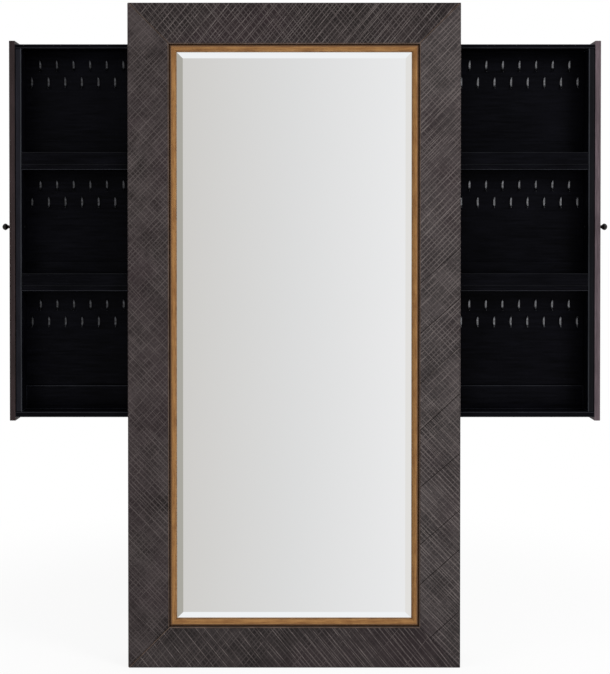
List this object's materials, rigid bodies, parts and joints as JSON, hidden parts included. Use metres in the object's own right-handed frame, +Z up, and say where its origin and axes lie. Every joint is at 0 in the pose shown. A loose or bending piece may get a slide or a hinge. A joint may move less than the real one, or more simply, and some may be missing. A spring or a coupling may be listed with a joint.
{
  "type": "floor mirror",
  "caption": "Full-height floor mirror with a wide carved frame, bevelled plate and shallow jewellery racks that slide out sideways on telescopic slides.",
  "frame": {"origin": "on the floor, at the middle of the frame's width and of the mirror's depth", "axes": "+X to the viewer's right, +Y from the mirror face to the wall, +Z up; both racks stored pulled out"},
  "size_m": [1.8855, 0.14, 2.032],
  "materials": {
    "frame_wood": "dark charcoal-brown stain with a carved crosshatch, satin",
    "trim_gold": "antique gold leaf, satin",
    "mirror": "polished silvered glass",
    "backing_board": "raw hardboard",
    "strip_wood": "raw pine",
    "case_wood": "dark stain, satin",
    "back_board": "sealed plywood",
    "rack_black": "black stain, satin",
    "fascia_wood": "dark charcoal-brown stain, satin",
    "slide_steel": "zinc plated, rolled",
    "glide_nylon": "natural nylon",
    "screw_steel": "zinc plated",
    "bracket_steel": "black powder coat",
    "hook_pewter": "pewter plated",
    "knob_bronze": "dark bronze, satin"
  },
  "bodies": {
    "case": {"frame_top": "frame_wood", "frame_bottom": "frame_wood", "frame_left": "frame_wood", "frame_right": "frame_wood", "trim_top": "trim_gold", "trim_bottom": "trim_gold", "trim_left": "trim_gold", "trim_right": "trim_gold", "mirror_glass": "mirror", "mirror_backing": "backing_board", "retainer_strips": "strip_wood", "case_bottom": "case_wood", "case_top": "case_wood", "case_left_lower_side": "case_wood", "case_left_upper_side": "case_wood", "case_right_lower_side": "case_wood", "case_right_upper_side": "case_wood", "lower_divider": "case_wood", "upper_divider": "case_wood", "centre_partition": "case_wood", "back_panel": "back_board", "back_panel_screws": "screw_steel", "wall_brackets": "bracket_steel", "wall_bracket_screws": "screw_steel", "left_slide_fixed": "slide_steel", "right_slide_fixed": "slide_steel"},
    "left_drawer": {"left_slide_inner": "slide_steel", "left_drawer_back": "rack_black", "left_drawer_top": "rack_black", "left_drawer_bottom": "rack_black", "left_inner_end": "rack_black", "left_outer_end": "rack_black", "left_lower_shelf": "rack_black", "left_lower_lip": "rack_black", "left_upper_shelf": "rack_black", "left_upper_lip": "rack_black", "left_rear_rails": "rack_black", "left_fascia": "fascia_wood", "left_knob": "knob_bronze", "left_knob_screw": "screw_steel", "left_hooks": "hook_pewter"},
    "left_slide": {"left_slide_middle": "slide_steel", "left_slide_glides": "glide_nylon"},
    "right_drawer": {"right_slide_inner": "slide_steel", "right_drawer_back": "rack_black", "right_drawer_top": "rack_black", "right_drawer_bottom": "rack_black", "right_inner_end": "rack_black", "right_outer_end": "rack_black", "right_lower_shelf": "rack_black", "right_lower_lip": "rack_black", "right_upper_shelf": "rack_black", "right_upper_lip": "rack_black", "right_rear_rails": "rack_black", "right_fascia": "fascia_wood", "right_knob": "knob_bronze", "right_knob_screw": "screw_steel", "right_hooks": "hook_pewter"},
    "right_slide": {"right_slide_middle": "slide_steel", "right_slide_glides": "glide_nylon"}
  },
  "joints": [
    {"name": "left_drawer_travel", "type": "slide", "parent": "case", "child": "left_drawer", "axis": [-1, 0, 0], "range_m": [-0.3775, 0.0725]},
    {"name": "left_middle_travel", "type": "slide", "parent": "case", "child": "left_slide", "axis": [-1, 0, 0], "range_m": [-0.18875, 0.03625]},
    {"name": "right_drawer_travel", "type": "slide", "parent": "case", "child": "right_drawer", "axis": [1, 0, 0], "range_m": [-0.444, 0.006]},
    {"name": "right_middle_travel", "type": "slide", "parent": "case", "child": "right_slide", "axis": [1, 0, 0], "range_m": [-0.222, 0.003]}
  ],
  "couplings": [
    {"joint": "left_middle_travel", "follows": "left_drawer_travel", "ratio": 0.5},
    {"joint": "right_middle_travel", "follows": "right_drawer_travel", "ratio": 0.5}
  ]
}
